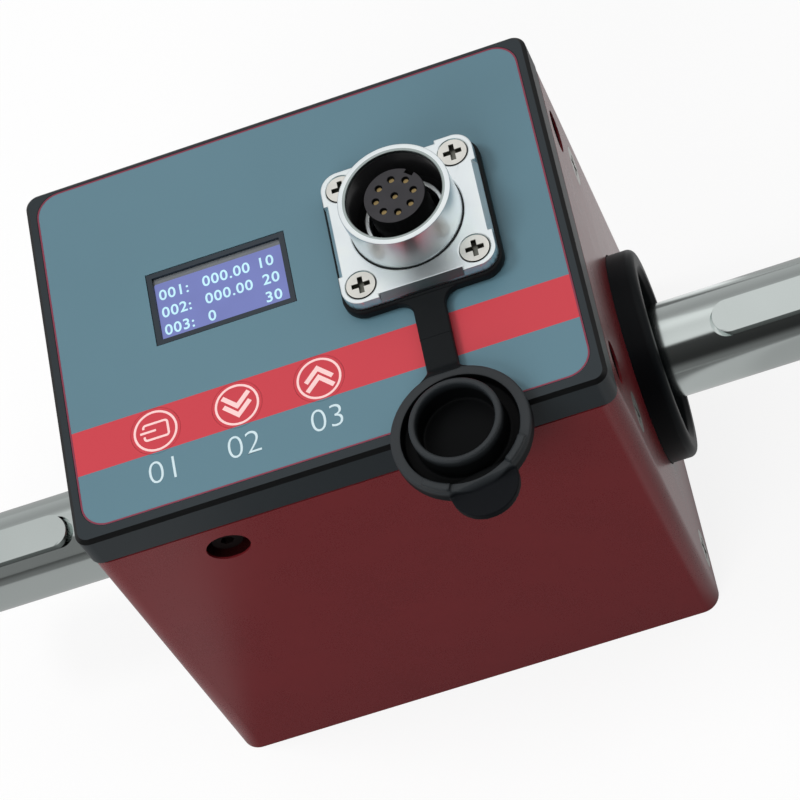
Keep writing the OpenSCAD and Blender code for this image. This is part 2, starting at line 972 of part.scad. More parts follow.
module inner_ring() {
    color("#b7bdc1")
        on_shaft(bearing_x)
            rotate_extrude()
                difference() {
                    translate([journal_d / 2 + fit, 0])
                        square([ball_ring_r - land - journal_d / 2 - fit, bearing_w]);
                    translate([ball_ring_r, bearing_w / 2])
                        circle(race_r);
                }
}

module at_balls() {
    for (i = [0 : ball_count - 1])
        rotate([0, 0, i * 360 / ball_count])
            translate([ball_ring_r, 0, bearing_w / 2])
                children();
}

module balls() {
    color("#d0d4d6")
        on_shaft(bearing_x)
            at_balls()
                sphere(d = ball_d);
}

module ball_cage() {
    cage_t = 1;
    cage_h = ball_d + 1;
    color("#8a6a35")
        on_shaft(bearing_x)
            difference() {
                translate([0, 0, bearing_w / 2 - cage_h / 2])
                    tube(ball_ring_r + cage_t / 2, ball_ring_r - cage_t / 2, cage_h);
                at_balls()
                    rotate([0, 90, 0])
                        cylinder(h = 2 * cage_t, d = ball_d + 4 * screw_gap, center = true);
            }
}

module seals() {
    color("#1d1f20")
        on_shaft(bearing_x)
            for (z = [seal_sunk, bearing_w - seal_sunk - seal_h])
                translate([0, 0, z])
                    tube(ball_ring_r + land - fit, ball_ring_r - land + seal_in, seal_h);
}

// Retaining ring with a gap and two holed ears, which face in or out
module circlip(outer_r, inner_r, ear_ring_r, ear_r) {
    ear_angle = 15;
    ear_hole_r = 0.8;
    gap_slope = 0.13;
    linear_extrude(circlip_t - 2 * fit)
        difference() {
            union() {
                difference() {
                    circle(outer_r);
                    circle(inner_r);
                    polygon([
                        [0, 0], [2 * outer_r, -2 * outer_r * gap_slope],
                        [2 * outer_r, 2 * outer_r * gap_slope]
                    ]);
                }
                for (a = [-1, 1])
                    rotate([0, 0, a * ear_angle])
                        translate([ear_ring_r, 0])
                            circle(ear_r, $fn = 32);
            }
            for (a = [-1, 1])
                rotate([0, 0, a * ear_angle])
                    translate([ear_ring_r, 0])
                        circle(ear_hole_r, $fn = 24);
        }
}

module bore_circlip() {
    groove_r = bearing_d / 2 + groove_depth;
    ring_w = 1.7;
    ear_in = 1.4;
    ear_r = 1.7;
    turned = 150;
    color("#b9bec0")
        on_shaft(circlip_x + fit)
            rotate([0, 0, turned])
                circlip(groove_r - screw_gap, bearing_d / 2 - ring_w, bearing_d / 2 - ear_in, ear_r);
}

module shaft_circlip() {
    ring_w = 1.2;
    ear_out = 1;
    ear_r = 1.4;
    turned = 250;
    color("#b9bec0")
        on_shaft(circlip_x + fit)
            rotate([0, 0, turned])
                circlip(
                    journal_d / 2 + ring_w, journal_d / 2 - shaft_groove + fit,
                    journal_d / 2 + ear_out, ear_r
                );
}

module bearing_outer_right() {
    outer_ring();
}

module bearing_outer_left() {
    mirror([1, 0, 0])
        outer_ring();
}

module bearing_inner_right() {
    inner_ring();
}

module bearing_inner_left() {
    mirror([1, 0, 0])
        inner_ring();
}

module bearing_balls_right() {
    balls();
}

module bearing_balls_left() {
    mirror([1, 0, 0])
        balls();
}

module bearing_cage_right() {
    ball_cage();
}

module bearing_cage_left() {
    mirror([1, 0, 0])
        ball_cage();
}

module bearing_seals_right() {
    seals();
}

module bearing_seals_left() {
    mirror([1, 0, 0])
        seals();
}

module bore_circlip_right() {
    bore_circlip();
}

module bore_circlip_left() {
    mirror([1, 0, 0])
        bore_circlip();
}

module shaft_circlip_right() {
    shaft_circlip();
}

module shaft_circlip_left() {
    mirror([1, 0, 0])
        shaft_circlip();
}

// Half section of the shaft's right side: radius over length
module shaft_section() {
    end_chamfer = 1;
    flank = (shoulder_d - torsion_d) / 2;
    half = shaft_len / 2;
    polygon([
        [0, 0], [torsion_d / 2, 0], [torsion_d / 2, torsion_l / 2],
        [shoulder_d / 2, torsion_l / 2 + flank / 2], [shoulder_d / 2, bearing_x],
        [journal_d / 2, bearing_x], [journal_d / 2, circlip_x],
        [journal_d / 2 - shaft_groove, circlip_x], [journal_d / 2 - shaft_groove, circlip_x + circlip_t],
        [journal_d / 2, circlip_x + circlip_t], [journal_d / 2, journal_end],
        [shaft_d / 2, journal_end], [shaft_d / 2, half - end_chamfer],
        [shaft_d / 2 - end_chamfer, half], [0, half]
    ]);
}

// A parallel key with round ends, seen from above, on the right half
module key_outline(w, run_out) {
    far = shaft_len / 2 - key_inset - shaft_key_w / 2;
    near = shaft_len / 2 - key_inset - shaft_key_l + shaft_key_w / 2 - run_out;
    translate([(far + near) / 2, 0])
        square([far - near, w], center = true);
    for (x = [near, far])
        translate([x, 0])
            circle(d = w);
}

module keyway_floor() {
    translate([0, 0, axis_h])
        rotate([shaft_turn, 0, 0])
            translate([0, 0, shaft_d / 2 - keyway_depth])
                children();
}

module shaft() {
    color("#b4babd")
        difference() {
            union() {
                on_shaft(0)
                    rotate_extrude()
                        shaft_section();
                mirror([1, 0, 0])
                    on_shaft(0)
                        rotate_extrude()
                            shaft_section();
            }
            for (s = [0, 1])
                mirror([s, 0, 0])
                    keyway_floor()
                        linear_extrude(shaft_d)
                            key_outline(shaft_key_w + 2 * fit, keyway_run_out);
        }
}

module shaft_key() {
    color("#c3c8ca")
        keyway_floor()
            linear_extrude(shaft_key_h)
                key_outline(shaft_key_w, 0);
}

module shaft_key_right() {
    shaft_key();
}

module shaft_key_left() {
    mirror([1, 0, 0])
        shaft_key();
}

module strain_gauges() {
    gauge_l = 8;
    gauge_w = 6;
    color("#c58a3c")
        intersection() {
            on_shaft(-gauge_l / 2)
                tube(torsion_d / 2 + gauge_t, torsion_d / 2, gauge_l);
            for (a = [0, 90, 180, 270])
                on_shaft(-gauge_l / 2)
                    rotate([0, 0, a])
                        translate([torsion_d / 2, 0, gauge_l / 2])
                            cube([torsion_d / 2, gauge_w, gauge_l], center = true);
        }
}

// Section of a wire spool between two radii, open outwards or inwards
module spool_section(low_r, high_r, l, open_r, open_depth) {
    difference() {
        translate([low_r, 0])
            square([high_r - low_r, l]);
        translate([open_r, coil_cheek])
            square([open_depth, l - 2 * coil_cheek]);
    }
}

module rotor_bobbin() {
    color("#3a3f45")
        on_shaft(rotor_x)
            rotate_extrude()
                spool_section(
                    shoulder_d / 2 + fit, rotor_r, rotor_l,
                    rotor_r - winding_depth, winding_depth + through
                );
}

module rotor_winding() {
    color("#a8592b")
        on_shaft(rotor_x + coil_cheek)
            tube(rotor_r - winding_drop, rotor_r - winding_depth + fit, rotor_l - 2 * coil_cheek);
}

module stator_bobbin() {
    bore_r = rotor_r + coil_gap;
    color("#3a3f45")
        on_shaft(-carrier_x + carrier_t)
            rotate_extrude()
                spool_section(
                    bore_r, bore_r + stator_wall, stator_l,
                    bore_r - through, winding_depth + through
                );
}

module stator_winding() {
    bore_r = rotor_r + coil_gap;
    color("#a8592b")
        on_shaft(-carrier_x + carrier_t + coil_cheek)
            tube(bore_r + winding_depth, bore_r + winding_drop, stator_l - 2 * coil_cheek);
}

module rotor_board() {
    color("#1f5b3a")
        on_shaft(rotor_board_x)
            tube(rotor_r - 1, shoulder_d / 2 + fit, board_t);
}

module speed_disc() {
    slot_l = 3;
    disc_slot_w = 2;
    color("#8d949a") {
        on_shaft(disc_x)
            linear_extrude(disc_t)
                difference() {
                    circle(disc_r);
                    circle(shoulder_d / 2 + fit);
                    for (i = [0 : disc_slots - 1])
                        rotate([0, 0, i * 360 / disc_slots])
                            translate([disc_r - 1 - slot_l / 2, 0])
                                square([slot_l, disc_slot_w], center = true);
                }
        on_shaft(disc_x + disc_t - fit)
            tube(disc_hub_r, shoulder_d / 2 + fit, disc_hub_l);
    }
}

// Fork that straddles the disc's edge, carried by the right carrier
module speed_pickup() {
    fork_x = disc_x + disc_t / 2 - pickup_gap / 2 - pickup_arm;
    fork_l = carrier_x - carrier_t - fork_x;
    web = 3;
    back_wall = 2;
    foot_l = fork_l - 2 * pickup_arm - pickup_gap - back_wall;
    color("#222527")
        difference() {
            translate([fork_x, -pickup_w / 2, pickup_low])
                cube([fork_l, pickup_w, pickup_h]);
            translate([fork_x + pickup_arm, -pickup_w / 2 - through, pickup_low - through])
                cube([pickup_gap, pickup_w + 2 * through, pickup_h - web + through]);
            translate([fork_x + 2 * pickup_arm + pickup_gap, -pickup_w / 2 - through, pickup_low - through])
                cube([foot_l, pickup_w + 2 * through, pickup_h - web + through]);
        }
}

module main_board() {
    color("#1f5b3a")
        difference() {
            translate([0, 0, board_top - board_t])
                slab(board_w, board_d, board_t, 2);
            at_pillars()
                translate([0, 0, board_top - board_t - through])
                    cylinder(h = board_t + 2 * through, d = small_shank_d + 2 * slide_fit);
        }
}

// Parts on the board: a shielded module, two drums and a row of plugs
module board_parts() {
    module_w = 24;
    module_d = 16.8;
    module_h = 4;
    module_x = -10;
    module_y = 10;
    drum_d = 6;
    drum_h = 5;
    drums_x = [14, 22];
    drums_y = 18;
    plug_w = 5;
    plug_count = 3;
    plug_pitch = 7;
    plugs_x = 12;
    plugs_y = -17;
    color("#4a4f54")
        translate([0, 0, board_top]) {
            translate([module_x, module_y, module_h / 2])
                cube([module_w, module_d, module_h], center = true);
            for (x = drums_x)
                translate([x, drums_y, 0])
                    cylinder(h = drum_h, d = drum_d);
            for (i = [0 : plug_count - 1])
                translate([plugs_x + i * plug_pitch, plugs_y, plug_w / 2])
                    cube([plug_w, plug_w, plug_w], center = true);
        }
}

module board_pillars() {
    bore_l = 6;
    color("#b99a55")
        at_pillars()
            translate([0, 0, board_top])
                difference() {
                    cylinder(h = pillar_l, d = pillar_d, $fn = 6);
                    translate([0, 0, -through])
                        cylinder(h = bore_l + through, d = small_shank_d);
                }
}

module board_screws() {
    shank_l = board_t + 4;
    post_head_d = 3.8;
    post_head_l = 1.4;
    post_screw_l = 3;
    color("#8e9498") {
        at_pillars()
            translate([0, 0, board_top - board_t]) {
                translate([0, 0, -small_head_l])
                    cylinder(h = small_head_l, d = small_head_d);
                cylinder(h = shank_l, d = small_shank_d - 2 * screw_gap);
            }
        at_key_posts()
            translate([0, 0, key_board_z - key_board_t]) {
                translate([0, 0, -post_head_l])
                    cylinder(h = post_head_l, d = post_head_d);
                cylinder(h = key_board_t + post_screw_l, d = post_bore_d - 2 * screw_gap);
            }
    }
}

housing();
lid();
lid_seal();
lid_screws();
panel_film();
display_frame();
display_glass();
display_board();
key_1();
key_2();
key_3();
key_board();
key_switches();
socket_shell();
socket_insert();
socket_contacts();
socket_screws();
socket_gasket();
cap_strap();
dust_cap();
carrier_left();
carrier_right();
carrier_screws();
bearing_outer_left();
bearing_outer_right();
bearing_inner_left();
bearing_inner_right();
bearing_balls_left();
bearing_balls_right();
bearing_cage_left();
bearing_cage_right();
bearing_seals_left();
bearing_seals_right();
bore_circlip_left();
bore_circlip_right();
shaft_circlip_left();
shaft_circlip_right();
shaft();
shaft_key_left();
shaft_key_right();
strain_gauges();
rotor_bobbin();
rotor_winding();
rotor_board();
speed_disc();
stator_bobbin();
stator_winding();
speed_pickup();
main_board();
board_parts();
board_pillars();
board_screws();
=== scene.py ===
"""Looks of a rotary torque sensor: a block housing with a panel, a socket and a shaft."""
import json
import math

import bmesh
import bpy
from mathutils import Matrix, Vector


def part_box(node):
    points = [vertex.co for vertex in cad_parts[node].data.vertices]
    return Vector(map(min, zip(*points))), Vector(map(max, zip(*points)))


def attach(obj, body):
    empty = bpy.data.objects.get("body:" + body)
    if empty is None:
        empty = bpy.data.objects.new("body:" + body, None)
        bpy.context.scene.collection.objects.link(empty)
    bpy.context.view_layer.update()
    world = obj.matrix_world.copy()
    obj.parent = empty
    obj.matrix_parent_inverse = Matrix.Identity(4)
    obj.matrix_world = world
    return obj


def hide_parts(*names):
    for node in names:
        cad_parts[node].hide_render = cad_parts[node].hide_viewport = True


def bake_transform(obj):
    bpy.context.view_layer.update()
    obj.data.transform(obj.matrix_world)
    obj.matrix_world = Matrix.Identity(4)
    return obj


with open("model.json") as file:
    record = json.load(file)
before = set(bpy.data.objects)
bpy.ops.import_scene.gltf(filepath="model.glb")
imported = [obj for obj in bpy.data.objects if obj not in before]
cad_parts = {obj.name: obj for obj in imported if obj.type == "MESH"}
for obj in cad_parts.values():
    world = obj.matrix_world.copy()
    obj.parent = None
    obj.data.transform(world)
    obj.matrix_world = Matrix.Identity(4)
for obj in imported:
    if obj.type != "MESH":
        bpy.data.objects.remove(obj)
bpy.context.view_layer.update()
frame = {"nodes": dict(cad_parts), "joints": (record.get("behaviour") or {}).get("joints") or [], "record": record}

MM = 0.001

# Camera, as its place, its right and its downward direction
CAMERA_AT = Vector((101.736, -336.511, 570.511)) * MM
CAMERA_RIGHT = Vector((0.94127, -0.17682, -0.28767))
CAMERA_DOWN = Vector((-0.30029, -0.82793, -0.47366))
CAMERA_LENS = 155.216
CAMERA_SENSOR = 36.0

# Print on the panel, in millimetres
STRIPE_FRONT = -23.7
STRIPE_BACK = -14.9
BORDER_W = 0.3
FILM_CORNER = 4.5
PRINT_T = 0.03
RING_D = 8.0
RING_LINE = 0.42
RING_STEPS = 72
NUMBER_DROP = 8.0
NUMBER_H = 4.5
NUMBER_THIN = -0.1

# Display, in millimetres from the middle of its window
LIT_LEFT = -11.8
LIT_RIGHT = 12.0
LIT_FRONT = -6.8
LIT_BACK = 5.4
LIT_R = 0.4
ROW_PITCH = 3.7
ROW_TOP = 2.9
DIGIT_H = 2.1
DIGIT_BOLD = 0.04
DIGIT_SPACING = 1.1

# Rubber strap and cap, in millimetres
ROOT_FILLET = 2.8
CAP_FILLET = 2.6
STRAP_ROUND = 0.42
STRAP_STATIONS = 40
STRAP_INTO_GASKET = 1.2
STRAP_INTO_CAP = 2.2
STRAP_OVERLAP = 0.6
STRAP_INSET = 0.02
CLIMB_START = 1.6
CLIMB_LENGTH = 2.6
CLIMB_SHORT = 0.1
CAP_VOXEL = 0.18
CAP_SMOOTHING = 9
SMOOTH_FACTOR = 0.5


def srgb(red, green, blue):
    """A linear colour from screen values of 0 to 255."""
    def channel(value):
        share = value / 255
        return share / 12.92 if share <= 0.04045 else ((share + 0.055) / 1.055) ** 2.4
    return (channel(red), channel(green), channel(blue), 1.0)


def scaled(colour, share):
    """The colour made darker or lighter."""
    return (colour[0] * share, colour[1] * share, colour[2] * share, 1.0)


def grey(level):
    """A neutral colour of that level."""
    return (level, level, level, 1.0)


# Node helpers

CLOUD_LOW = 0.3
CLOUD_HIGH = 0.7


def node(tree, kind, inputs=None, **settings):
    """A new node; each input is a value or an output to link."""
    made = tree.nodes.new(kind)
    for key, value in settings.items():
        setattr(made, key, value)
    for key, value in (inputs or {}).items():
        if isinstance(value, bpy.types.NodeSocket):
            tree.links.new(value, made.inputs[key])
        else:
            made.inputs[key].default_value = value
    return made


def maths(tree, operation, first, second=0.0, third=0.0):
    """The output of one Math node."""
    return node(tree, "ShaderNodeMath", {0: first, 1: second, 2: third}, operation=operation).outputs[0]


def ramp(tree, factor, stops, interpolation="LINEAR"):
    """The colour of a ramp whose stops are (place, colour)."""
    made = node(tree, "ShaderNodeValToRGB", {"Fac": factor})
    made.color_ramp.interpolation = interpolation
    points = made.color_ramp.elements
    while len(points) < len(stops):
        points.new(1.0)
    for point, (place, colour) in zip(points, stops):
        point.position = place
        point.color = colour
    return made.outputs["Color"]


def clouded(tree, factor, first, second):
    """A colour that wanders from one to another with a noise."""
    return ramp(tree, factor, [(CLOUD_LOW, first), (CLOUD_HIGH, second)])


def levels(tree, factor, stops, span, shift=0.0, interpolation="LINEAR"):
    """A ramp of greys whose stops are (distance, level), over a span of distances."""
    places = [(distance / span + shift, grey(level)) for distance, level in stops]
    return ramp(tree, factor, places, interpolation)


def mix_colour(tree, factor, first, second):
    """The output of a colour mix."""
    made = node(tree, "ShaderNodeMix", {0: factor, 6: first, 7: second}, data_type="RGBA")
    return made.outputs[2]


def split(tree, vector):
    """The X, Y and Z of a vector."""
    return node(tree, "ShaderNodeSeparateXYZ", {0: vector}).outputs


def facing(tree):
    """The X, Y and Z of the direction that the face points in."""
    return split(tree, node(tree, "ShaderNodeNewGeometry").outputs["True Normal"])


def from_axis(tree, spot, middle):
    """How far a point lies from the upright axis through a middle, which is in millimetres."""
    across = maths(tree, "SUBTRACT", spot["X"], middle[0] * MM)
    along = maths(tree, "SUBTRACT", spot["Y"], middle[1] * MM)
    square = maths(tree, "MULTIPLY_ADD", across, across, maths(tree, "MULTIPLY", along, along))
    return maths(tree, "SQRT", square)


def spread(tree, value, low, high):
    """A value of 0 to 1 spread over a range."""
    return node(tree, "ShaderNodeMapRange", {"Value": value, "To Min": low, "To Max": high}).outputs["Result"]


def noise(tree, vector, size_mm, detail=2.0):
    """Noise whose features are about size_mm across."""
    inputs = {"Vector": vector, "Scale": 1 / (size_mm * MM), "Detail": detail}
    return node(tree, "ShaderNodeTexNoise", inputs).outputs["Fac"]


def new_material(name):
    """A material with its tree, its shader and the place on the piece."""
    material = bpy.data.materials.new(name)
    material.use_nodes = True
    tree = material.node_tree
    place = node(tree, "ShaderNodeTexCoord").outputs["Object"]
    return material, tree, tree.nodes["Principled BSDF"], place


def surface(name, colour, roughness, metallic=0.0, tint=0.06, drift_mm=18.0, grain_mm=0.3,
            bump_mm=0.004, stretch=(1.0, 1.0, 1.0), sway=0.06, specular=0.5, painter=None, gloss=None):
    """A finish whose colour and roughness wander, over a fine raised grain.
    painter takes the tree, the place and the colour, and returns the colour to use.
    gloss takes the tree and the place, and returns the specular level to use."""
    material, tree, shader, place = new_material(name)
    drift = noise(tree, place, drift_mm, 3.0)
    stretched = node(tree, "ShaderNodeMapping", {"Vector": place, "Scale": stretch}).outputs["Vector"]
    grain = noise(tree, stretched, grain_mm)
    shade = clouded(tree, drift, scaled(colour, 1 - tint), scaled(colour, 1 + tint))
    if painter:
        shade = painter(tree, place, shade)
    both = maths(tree, "MULTIPLY_ADD", grain, 0.5, maths(tree, "MULTIPLY", drift, 0.5))
    raised = node(tree, "ShaderNodeBump", {"Height": grain, "Strength": 1.0, "Distance": bump_mm * MM})
    tree.links.new(shade, shader.inputs["Base Color"])
    tree.links.new(spread(tree, both, roughness - sway, roughness + sway), shader.inputs["Roughness"])
    tree.links.new(raised.outputs["Normal"], shader.inputs["Normal"])
    shader.inputs["Metallic"].default_value = metallic
    shader.inputs["Specular IOR Level"].default_value = specular
    if gloss:
        tree.links.new(gloss(tree, place), shader.inputs["Specular IOR Level"])
    return material


# Painters

STRIPE_RED = srgb(199, 60, 71)
# Painted dark reflection on the lid's chamfer; the insert's sides take the same black
CHAMFER_REFLECTION_AND_SIDE_BLACK = srgb(9, 10, 11)
CHAMFER_STEEP = 0.35
CHAMFER_FLAT = 0.93
SIDE_UP = 0.5
# Painted shade in the screws' recesses
RECESS_SHADE = (0.16, 0.16, 0.14, 1.0)
RECESS_STEP = 0.25
FLANGE_TOP = 93.5
END_WALL = 47.5
FRONT_WALL = 37.0
CORNER = 3.5
HOLE_LIP = 0.4
# Painted shade in the housing's counterbores
HOLE_SHADE_RED = srgb(38, 9, 10)
SOCKET_MIDDLE = (21.0, 3.3)
RIM_EDGE = 9.1
RIM_FOOT = 100.5
# Painted shade on the inner edge of the socket's rim and on its front slope
RIM_SHADE_GREY = (0.42, 0.48, 0.47, 1.0)
SLOPE_SHADE_GREY = (0.6, 0.78, 0.82, 1.0)
SLOPE_FRONT = -0.6
SLOPE_UP = 0.2
# Painted shade in the cap's hollows and low on its pull, where its gloss is turned down too
CAP_MIDDLE = (21.8, -39.6)
CAP_HOLLOW = 10.3
HOLLOW_SHADE = (95.3, 93.6)
PULL_SHADE = (92.0, 91.2)
HOLLOW_SHADOW_BLACK = srgb(9, 10, 11)
PULL_SHADOW_BLACK = srgb(17, 19, 22)
CAP_GLOSS = (0.46, 0.08)


def paint_stripe(tree, place, shade):
    """The red stripe across the film, in front of the display."""
    y = split(tree, place)["Y"]
    after = maths(tree, "GREATER_THAN", y, STRIPE_FRONT * MM)
    before = maths(tree, "LESS_THAN", y, STRIPE_BACK * MM)
    return mix_colour(tree, maths(tree, "MULTIPLY", after, before), shade, STRIPE_RED)


def paint_dark_reflection(tree, place, shade):
    """The slope round the lid's top, painted near black as a painted dark reflection."""
    up = facing(tree)["Z"]
    steep = maths(tree, "GREATER_THAN", up, CHAMFER_STEEP)
    flat = maths(tree, "LESS_THAN", up, CHAMFER_FLAT)
    return mix_colour(tree, maths(tree, "MULTIPLY", steep, flat), shade, CHAMFER_REFLECTION_AND_SIDE_BLACK)


def paint_side(tree, place, shade):
    """The side of the contact insert, which is painted near black."""
    aside = maths(tree, "LESS_THAN", facing(tree)["Z"], SIDE_UP)
    return mix_colour(tree, aside, shade, CHAMFER_REFLECTION_AND_SIDE_BLACK)


def paint_screw_shade(axis, surface_mm):
    """Painted shade in the screws' recesses, which lie below a face at that distance along an axis."""
    def painter(tree, place, shade):
        along = maths(tree, "ABSOLUTE", split(tree, place)[axis])
        inside = maths(tree, "LESS_THAN", along, (surface_mm - RECESS_STEP) * MM)
        return mix_colour(tree, inside, shade, RECESS_SHADE)
    return painter


def paint_hole_shade(tree, place, shade):
    """Painted shade in the counterbores, which lie behind the housing's faces and away from its corners."""
    spot = split(tree, place)
    across = maths(tree, "ABSOLUTE", spot["X"])
    along = maths(tree, "ABSOLUTE", spot["Y"])
    front = maths(tree, "MULTIPLY", maths(tree, "LESS_THAN", along, (FRONT_WALL - HOLE_LIP) * MM),
                  maths(tree, "LESS_THAN", across, (END_WALL - CORNER) * MM))
    end = maths(tree, "MULTIPLY", maths(tree, "LESS_THAN", across, (END_WALL - HOLE_LIP) * MM),
                maths(tree, "LESS_THAN", along, (FRONT_WALL - CORNER) * MM))
    return mix_colour(tree, maths(tree, "MAXIMUM", front, end), shade, HOLE_SHADE_RED)


def paint_socket_shade(tree, place, shade):
    """Painted shade on the socket shell's front slope and on the inner edge of its rim."""
    way = facing(tree)
    slope = maths(tree, "MULTIPLY", maths(tree, "LESS_THAN", way["Y"], SLOPE_FRONT),
                  maths(tree, "GREATER_THAN", way["Z"], SLOPE_UP))
    spot = split(tree, place)
    radius = from_axis(tree, spot, SOCKET_MIDDLE)
    inner = maths(tree, "MULTIPLY", maths(tree, "LESS_THAN", radius, RIM_EDGE * MM),
                  maths(tree, "GREATER_THAN", spot["Z"], RIM_FOOT * MM))
    return mix_colour(tree, inner, mix_colour(tree, slope, shade, SLOPE_SHADE_GREY), RIM_SHADE_GREY)


def below(tree, height, shade):
    """How far a height in metres has gone from the upper to the lower level of a shade."""
    return node(tree, "ShaderNodeMapRange", {
        "Value": height, "From Min": shade[0] * MM, "From Max": shade[1] * MM,
    }).outputs["Result"]


def cap_shade_depths(tree, place):
    """How deep a point lies in the cap's hollows, and how deep on its outside, from 0 to 1, which sets the painted
    shade.
    """
    spot = split(tree, place)
    hollow = maths(tree, "LESS_THAN", from_axis(tree, spot, CAP_MIDDLE), CAP_HOLLOW * MM)
    inner = maths(tree, "MULTIPLY", below(tree, spot["Z"], HOLLOW_SHADE), hollow)
    outer = maths(tree, "MULTIPLY", below(tree, spot["Z"], PULL_SHADE), maths(tree, "SUBTRACT", 1.0, hollow))
    return inner, outer


def paint_shaded_cap(tree, place, shade):
    """Painted shade: darker in the cap's hollows and on its pull."""
    inner, outer = cap_shade_depths(tree, place)
    return mix_colour(tree, inner, mix_colour(tree, outer, shade, PULL_SHADOW_BLACK), HOLLOW_SHADOW_BLACK)


def cap_gloss(tree, place):
    """The cap's gloss, turned down where the shade is painted in the hollows and on the pull."""
    inner, outer = cap_shade_depths(tree, place)
    return spread(tree, maths(tree, "MAXIMUM", inner, outer), CAP_GLOSS[0], CAP_GLOSS[1])


# One finish for each material slot of the record

TURNED = (6.0, 0.4, 0.4)
WOUND = (4, 0.2, 0.2)
FILM_BLUE = srgb(92, 126, 139)
SCREW_NICKEL = (0.8, 0.79, 0.74, 1.0)
CARRIER_SCREW_SHARE = 0.5


def film_finish(name):
    """The printed film with its stripe."""
    return surface(name, FILM_BLUE, 0.36, tint=0.03, drift_mm=40, grain_mm=0.18, bump_mm=0.002,
                   specular=0.35, painter=paint_stripe)


def screw_finish(name, colour, painter=None):
    """The plated heads of screws."""
    return surface(name, colour, 0.3, metallic=1.0, tint=0.08, drift_mm=3, bump_mm=0.004, painter=painter)


finishes = {
    "red_anodised": surface("red_anodised", srgb(124, 37, 42), 0.28, tint=0.04, grain_mm=0.22,
                            bump_mm=0.0012, specular=0.35, painter=paint_hole_shade),
    "lid_black": surface("lid_black", srgb(40, 47, 51), 0.42, grain_mm=0.25, bump_mm=0.003,
                         specular=0.3, painter=paint_dark_reflection),
    "film": film_finish("film"),
    "key_film": film_finish("key_film"),
    "display_frame": surface("display_frame", srgb(28, 40, 50), 0.25, grain_mm=0.5, bump_mm=0.001),
    "display_glass": surface("display_glass", srgb(104, 108, 112), 0.12, tint=0.08, drift_mm=5,
                             grain_mm=1, bump_mm=0.0),
    "circuit_board": surface("circuit_board", srgb(30, 92, 58), 0.4, grain_mm=0.6, bump_mm=0.01),
    "black_plastic": surface("black_plastic", srgb(30, 31, 33), 0.45, grain_mm=0.2, bump_mm=0.006),
    "nickel": surface("nickel", (0.92, 0.98, 1.0, 1.0), 0.32, metallic=1.0, tint=0.04, drift_mm=6,
                      grain_mm=0.3, bump_mm=0.002, painter=paint_socket_shade),
    "insert_grey": surface("insert_grey", srgb(51, 50, 53), 0.5, tint=0.1, drift_mm=2, grain_mm=0.2,
                           bump_mm=0.008, specular=0.3, painter=paint_side),
    "gold": surface("gold", (0.3, 0.22, 0.1, 1.0), 0.3, metallic=1.0, tint=0.08, drift_mm=2),
    "screw_nickel": screw_finish("screw_nickel", SCREW_NICKEL),
    "screw_black": surface("screw_black", srgb(18, 12, 12), 0.6, tint=0.1, drift_mm=3, specular=0.1),
    "rubber": surface("rubber", srgb(16, 19, 21), 0.5, tint=0.08, drift_mm=7, grain_mm=0.25,
                      bump_mm=0.008, specular=0.16),
    "black_anodised": surface("black_anodised", srgb(17, 21, 24), 0.4, tint=0.08, grain_mm=0.25,
                              bump_mm=0.003, specular=0.12),
    "bearing_steel": surface("bearing_steel", (0.6, 0.63, 0.64, 1.0), 0.28, metallic=1.0, stretch=TURNED),
    "cage_brass": surface("cage_brass", (0.5, 0.36, 0.15, 1.0), 0.35, metallic=1.0),
    "shaft_steel": surface("shaft_steel", (0.67, 0.725, 0.71, 1.0), 0.12, metallic=1.0, tint=0.04,
                           drift_mm=30, grain_mm=0.6, bump_mm=0.0008, stretch=TURNED, sway=0.03),
    "foil": surface("foil", srgb(196, 138, 62), 0.35, grain_mm=0.4),
    "ferrite": surface("ferrite", srgb(58, 63, 69), 0.6, grain_mm=0.4, bump_mm=0.02),
    "copper": surface("copper", (0.6, 0.28, 0.12, 1.0), 0.35, metallic=1.0, grain_mm=0.4,
                      bump_mm=0.05, stretch=WOUND),
}
of_node = {
    "socket_screws": screw_finish("socket_screw", SCREW_NICKEL, paint_screw_shade("Z", FLANGE_TOP)),
    "carrier_screws": screw_finish("carrier_screw", scaled(SCREW_NICKEL, CARRIER_SCREW_SHARE),
                                   paint_screw_shade("X", END_WALL)),
}
slot_of = {row["node"]: row["material_slot"] for row in frame["record"]["subparts"]}
for name, obj in frame["nodes"].items():
    obj.data.materials.clear()
    obj.data.materials.append(of_node.get(name, finishes[slot_of[name]]))

# Small rounded edges on the solids that keep their shape, in millimetres
BEVELS = {
    "housing": 0.3, "lid": 0.1, "socket_shell": 0.16, "socket_gasket": 0.5, "socket_insert": 0.1,
    "shaft_key_left": 0.2, "shaft_key_right": 0.2, "carrier_left": 0.2, "carrier_right": 0.2,
    "carrier_screws": 0.1, "socket_screws": 0.1, "lid_screws": 0.1, "display_frame": 0.06,
    "bore_circlip_left": 0.1, "bore_circlip_right": 0.1,
}
WELD = 0.002
BEVEL_ANGLE = 32
BEVEL_SEGMENTS = 2
NORMAL_WEIGHT = 100
for name, width in BEVELS.items():
    obj = frame["nodes"][name]
    obj.modifiers.new("weld", "WELD").merge_threshold = WELD * MM
    bevel = obj.modifiers.new("bevel", "BEVEL")
    bevel.width = width * MM
    bevel.segments = BEVEL_SEGMENTS
    bevel.limit_method = "ANGLE"
    bevel.angle_limit = math.radians(BEVEL_ANGLE)
    normals = obj.modifiers.new("normals", "WEIGHTED_NORMAL")
    normals.weight = NORMAL_WEIGHT
    normals.keep_sharp = True


# Mesh helpers

MITRE_LIMIT = 0.3
DIGIT_SHARE = 0.7
CURVE_STEPS = 6


